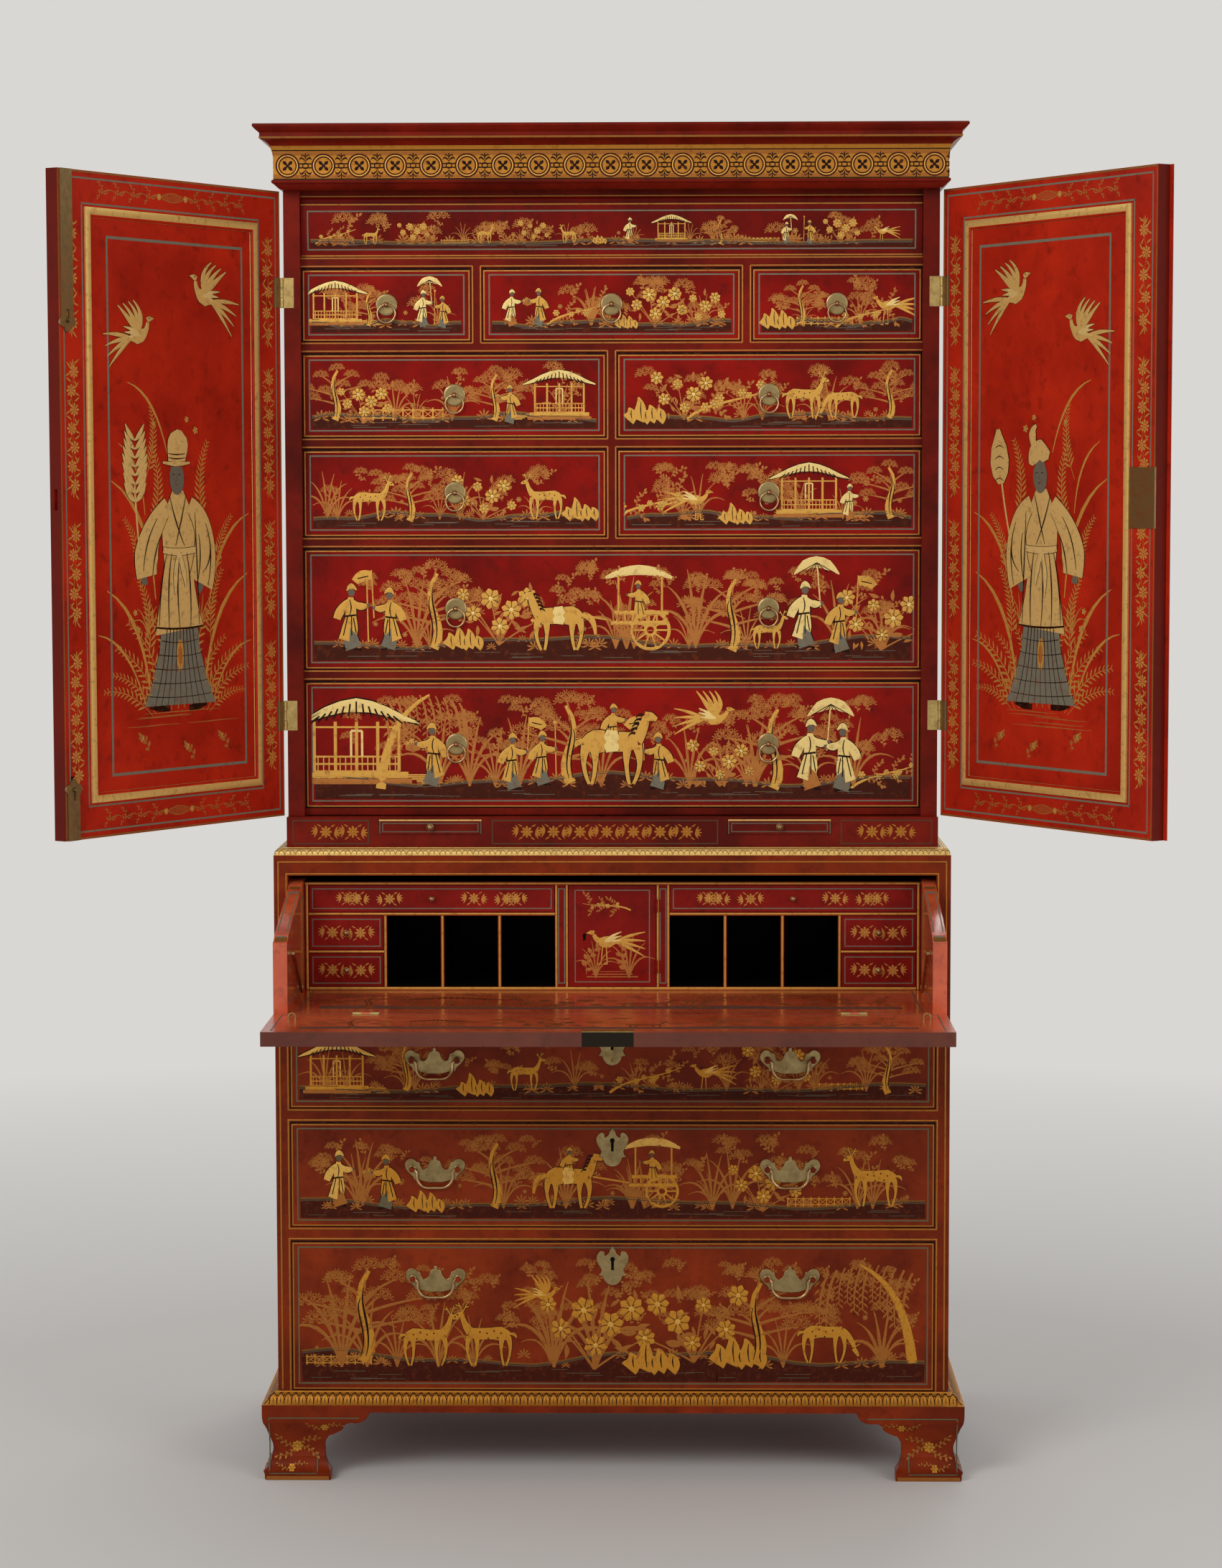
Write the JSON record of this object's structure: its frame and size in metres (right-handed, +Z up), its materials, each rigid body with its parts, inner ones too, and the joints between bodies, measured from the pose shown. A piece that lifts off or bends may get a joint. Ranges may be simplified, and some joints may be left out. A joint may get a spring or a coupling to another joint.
{
  "type": "lacquer cabinet",
  "caption": "Tall lacquered bureau cabinet: panelled doors over small drawers, a pull-out writing drawer with pigeonholes, long drawers below and ogee bracket feet",
  "frame": {"origin": "on the floor, at the centre of the box round the cabinet with its doors and writing drawer open", "axes": "+Z up, the front faces -Y, +X to the right of someone who looks at the front"},
  "size_m": [1.6073, 0.9706, 2.1035],
  "materials": {
    "red_lacquer": "glossy red lacquer",
    "gilt_red_lacquer": "red lacquer with aged gilding",
    "brass": "aged"
  },
  "bodies": {
    "case": {"upper_carcase": "red_lacquer", "upper_drawer_rails": "red_lacquer", "back_boards": "red_lacquer", "cornice": "gilt_red_lacquer", "candle_plinth": "red_lacquer", "waist_moulding": "gilt_red_lacquer", "lower_carcase": "red_lacquer", "lower_drawer_rails": "red_lacquer", "base_moulding": "gilt_red_lacquer", "bracket_feet": "red_lacquer", "case_hinge_leaves": "brass"},
    "left_door": {"left_door_frame": "red_lacquer", "left_door_panel": "red_lacquer", "left_door_brass": "brass"},
    "right_door": {"right_door_frame": "red_lacquer", "right_door_panel": "red_lacquer", "right_door_brass": "brass"},
    "desk": {"desk_drawer": "red_lacquer", "pigeonhole_unit": "red_lacquer"},
    "fall": {"fall_front": "red_lacquer", "fall_brass": "brass"},
    "top_bolt": {"top_bolt": "brass"},
    "bottom_bolt": {"bottom_bolt": "brass"},
    "left_stay": {"left_stay_hook": "brass"},
    "right_stay": {"right_stay_hook": "brass"},
    "cupboard_door": {"centre_door": "red_lacquer"},
    "left_pen_drawer_box": {"left_pen_drawer": "red_lacquer"},
    "right_pen_drawer_box": {"right_pen_drawer": "red_lacquer"},
    "left_letter_drawer_upper_box": {"left_letter_drawer_upper": "red_lacquer"},
    "left_letter_drawer_lower_box": {"left_letter_drawer_lower": "red_lacquer"},
    "right_letter_drawer_upper_box": {"right_letter_drawer_upper": "red_lacquer"},
    "right_letter_drawer_lower_box": {"right_letter_drawer_lower": "red_lacquer"},
    "left_slide": {"left_candle_slide": "red_lacquer"},
    "right_slide": {"right_candle_slide": "red_lacquer"},
    "long_lower_box": {"long_lower_drawer": "red_lacquer"},
    "long_lower_pull": {"long_lower_rings": "brass"},
    "long_upper_box": {"long_upper_drawer": "red_lacquer"},
    "long_upper_pull": {"long_upper_rings": "brass"},
    "pair_lower_left_box": {"pair_lower_left_drawer": "red_lacquer"},
    "pair_lower_left_pull": {"pair_lower_left_ring": "brass"},
    "pair_lower_right_box": {"pair_lower_right_drawer": "red_lacquer"},
    "pair_lower_right_pull": {"pair_lower_right_ring": "brass"},
    "pair_upper_left_box": {"pair_upper_left_drawer": "red_lacquer"},
    "pair_upper_left_pull": {"pair_upper_left_ring": "brass"},
    "pair_upper_right_box": {"pair_upper_right_drawer": "red_lacquer"},
    "pair_upper_right_pull": {"pair_upper_right_ring": "brass"},
    "trio_left_box": {"trio_left_drawer": "red_lacquer"},
    "trio_left_pull": {"trio_left_ring": "brass"},
    "trio_middle_box": {"trio_middle_drawer": "red_lacquer"},
    "trio_middle_pull": {"trio_middle_ring": "brass"},
    "trio_right_box": {"trio_right_drawer": "red_lacquer"},
    "trio_right_pull": {"trio_right_ring": "brass"},
    "cushion_box": {"cushion_drawer": "red_lacquer"},
    "deep_box": {"deep_drawer": "red_lacquer"},
    "deep_bail": {"deep_drawer_bails": "brass"},
    "middle_box": {"middle_drawer": "red_lacquer"},
    "middle_bail": {"middle_drawer_bails": "brass"},
    "shallow_box": {"shallow_drawer": "red_lacquer"},
    "shallow_bail": {"shallow_drawer_bails": "brass"}
  },
  "joints": [
    {"name": "left_door_hinge", "type": "hinge", "parent": "case", "child": "left_door", "pos_m": [-0.5094, -0.029, 1.523], "axis": [0, 0, -1], "range_deg": [-122.5, 57.5]},
    {"name": "right_door_hinge", "type": "hinge", "parent": "case", "child": "right_door", "pos_m": [0.5094, -0.029, 1.523], "axis": [0, 0, 1], "range_deg": [-122.5, 57.5]},
    {"name": "top_bolt_slide", "type": "slide", "parent": "left_door", "child": "top_bolt", "axis": [0, 0, 1], "range_m": [0, 0.012]},
    {"name": "bottom_bolt_slide", "type": "slide", "parent": "left_door", "child": "bottom_bolt", "axis": [0, 0, -1], "range_m": [0, 0.012]},
    {"name": "desk_slide", "type": "slide", "parent": "case", "child": "desk", "axis": [0, -1, 0], "range_m": [-0.25, 0]},
    {"name": "fall_hinge", "type": "hinge", "parent": "desk", "child": "fall", "pos_m": [0, -0.3023, 0.767], "axis": [1, 0, 0], "range_deg": [-90, 0]},
    {"name": "left_stay_pivot", "type": "hinge", "parent": "desk", "child": "left_stay", "pos_m": [-0.4782, -0.2463, 0.8515], "axis": [1, 0, 0], "range_deg": [0, 240]},
    {"name": "right_stay_pivot", "type": "hinge", "parent": "desk", "child": "right_stay", "pos_m": [0.4782, -0.2463, 0.8515], "axis": [1, 0, 0], "range_deg": [0, 240]},
    {"name": "cupboard_hinge", "type": "hinge", "parent": "desk", "child": "cupboard_door", "pos_m": [0.0688, -0.0427, 0.857], "axis": [0, 0, 1], "range_deg": [0, 95]},
    {"name": "left_pen_drawer_slide", "type": "slide", "parent": "desk", "child": "left_pen_drawer_box", "axis": [0, -1, 0], "range_m": [0, 0.15]},
    {"name": "right_pen_drawer_slide", "type": "slide", "parent": "desk", "child": "right_pen_drawer_box", "axis": [0, -1, 0], "range_m": [0, 0.15]},
    {"name": "left_letter_drawer_upper_slide", "type": "slide", "parent": "desk", "child": "left_letter_drawer_upper_box", "axis": [0, -1, 0], "range_m": [0, 0.15]},
    {"name": "left_letter_drawer_lower_slide", "type": "slide", "parent": "desk", "child": "left_letter_drawer_lower_box", "axis": [0, -1, 0], "range_m": [0, 0.15]},
    {"name": "right_letter_drawer_upper_slide", "type": "slide", "parent": "desk", "child": "right_letter_drawer_upper_box", "axis": [0, -1, 0], "range_m": [0, 0.15]},
    {"name": "right_letter_drawer_lower_slide", "type": "slide", "parent": "desk", "child": "right_letter_drawer_lower_box", "axis": [0, -1, 0], "range_m": [0, 0.15]},
    {"name": "left_candle_slide_slide", "type": "slide", "parent": "case", "child": "left_slide", "axis": [0, -1, 0], "range_m": [0, 0.14]},
    {"name": "right_candle_slide_slide", "type": "slide", "parent": "case", "child": "right_slide", "axis": [0, -1, 0], "range_m": [0, 0.14]},
    {"name": "long_lower_drawer_slide", "type": "slide", "parent": "case", "child": "long_lower_box", "axis": [0, -1, 0], "range_m": [0, 0.3]},
    {"name": "long_lower_rings_hinge", "type": "hinge", "parent": "long_lower_box", "child": "long_lower_pull", "pos_m": [0, -0.0137, 1.15025], "axis": [-1, 0, 0], "range_deg": [0, 90]},
    {"name": "long_upper_drawer_slide", "type": "slide", "parent": "case", "child": "long_upper_box", "axis": [0, -1, 0], "range_m": [0, 0.3]},
    {"name": "long_upper_rings_hinge", "type": "hinge", "parent": "long_upper_box", "child": "long_upper_pull", "pos_m": [0, -0.0137, 1.36205], "axis": [-1, 0, 0], "range_deg": [0, 90]},
    {"name": "pair_lower_left_drawer_slide", "type": "slide", "parent": "case", "child": "pair_lower_left_box", "axis": [0, -1, 0], "range_m": [0, 0.3]},
    {"name": "pair_lower_left_ring_hinge", "type": "hinge", "parent": "pair_lower_left_box", "child": "pair_lower_left_pull", "pos_m": [-0.243, -0.0137, 1.5423], "axis": [-1, 0, 0], "range_deg": [0, 90]},
    {"name": "pair_lower_right_drawer_slide", "type": "slide", "parent": "case", "child": "pair_lower_right_box", "axis": [0, -1, 0], "range_m": [0, 0.3]},
    {"name": "pair_lower_right_ring_hinge", "type": "hinge", "parent": "pair_lower_right_box", "child": "pair_lower_right_pull", "pos_m": [0.243, -0.0137, 1.5423], "axis": [-1, 0, 0], "range_deg": [0, 90]},
    {"name": "pair_upper_left_drawer_slide", "type": "slide", "parent": "case", "child": "pair_upper_left_box", "axis": [0, -1, 0], "range_m": [0, 0.3]},
    {"name": "pair_upper_left_ring_hinge", "type": "hinge", "parent": "pair_upper_left_box", "child": "pair_upper_left_pull", "pos_m": [-0.243, -0.0137, 1.6935], "axis": [-1, 0, 0], "range_deg": [0, 90]},
    {"name": "pair_upper_right_drawer_slide", "type": "slide", "parent": "case", "child": "pair_upper_right_box", "axis": [0, -1, 0], "range_m": [0, 0.3]},
    {"name": "pair_upper_right_ring_hinge", "type": "hinge", "parent": "pair_upper_right_box", "child": "pair_upper_right_pull", "pos_m": [0.243, -0.0137, 1.6935], "axis": [-1, 0, 0], "range_deg": [0, 90]},
    {"name": "trio_left_drawer_slide", "type": "slide", "parent": "case", "child": "trio_left_box", "axis": [0, -1, 0], "range_m": [0, 0.3]},
    {"name": "trio_left_ring_hinge", "type": "hinge", "parent": "trio_left_box", "child": "trio_left_pull", "pos_m": [-0.349, -0.0137, 1.83305], "axis": [-1, 0, 0], "range_deg": [0, 90]},
    {"name": "trio_middle_drawer_slide", "type": "slide", "parent": "case", "child": "trio_middle_box", "axis": [0, -1, 0], "range_m": [0, 0.3]},
    {"name": "trio_middle_ring_hinge", "type": "hinge", "parent": "trio_middle_box", "child": "trio_middle_pull", "pos_m": [0, -0.0137, 1.83305], "axis": [-1, 0, 0], "range_deg": [0, 90]},
    {"name": "trio_right_drawer_slide", "type": "slide", "parent": "case", "child": "trio_right_box", "axis": [0, -1, 0], "range_m": [0, 0.3]},
    {"name": "trio_right_ring_hinge", "type": "hinge", "parent": "trio_right_box", "child": "trio_right_pull", "pos_m": [0.349, -0.0137, 1.83305], "axis": [-1, 0, 0], "range_deg": [0, 90]},
    {"name": "cushion_drawer_slide", "type": "slide", "parent": "case", "child": "cushion_box", "axis": [0, -1, 0], "range_m": [0, 0.3]},
    {"name": "deep_drawer_slide", "type": "slide", "parent": "case", "child": "deep_box", "axis": [0, -1, 0], "range_m": [0, 0.38]},
    {"name": "deep_bails_hinge", "type": "hinge", "parent": "deep_box", "child": "deep_bail", "pos_m": [0, -0.0827, 0.317], "axis": [-1, 0, 0], "range_deg": [0, 90]},
    {"name": "middle_drawer_slide", "type": "slide", "parent": "case", "child": "middle_box", "axis": [0, -1, 0], "range_m": [0, 0.38]},
    {"name": "middle_bails_hinge", "type": "hinge", "parent": "middle_box", "child": "middle_bail", "pos_m": [0, -0.0827, 0.4906], "axis": [-1, 0, 0], "range_deg": [0, 90]},
    {"name": "shallow_drawer_slide", "type": "slide", "parent": "case", "child": "shallow_box", "axis": [0, -1, 0], "range_m": [0, 0.38]},
    {"name": "shallow_bails_hinge", "type": "hinge", "parent": "shallow_box", "child": "shallow_bail", "pos_m": [0, -0.0827, 0.662], "axis": [-1, 0, 0], "range_deg": [0, 90]}
  ]
}
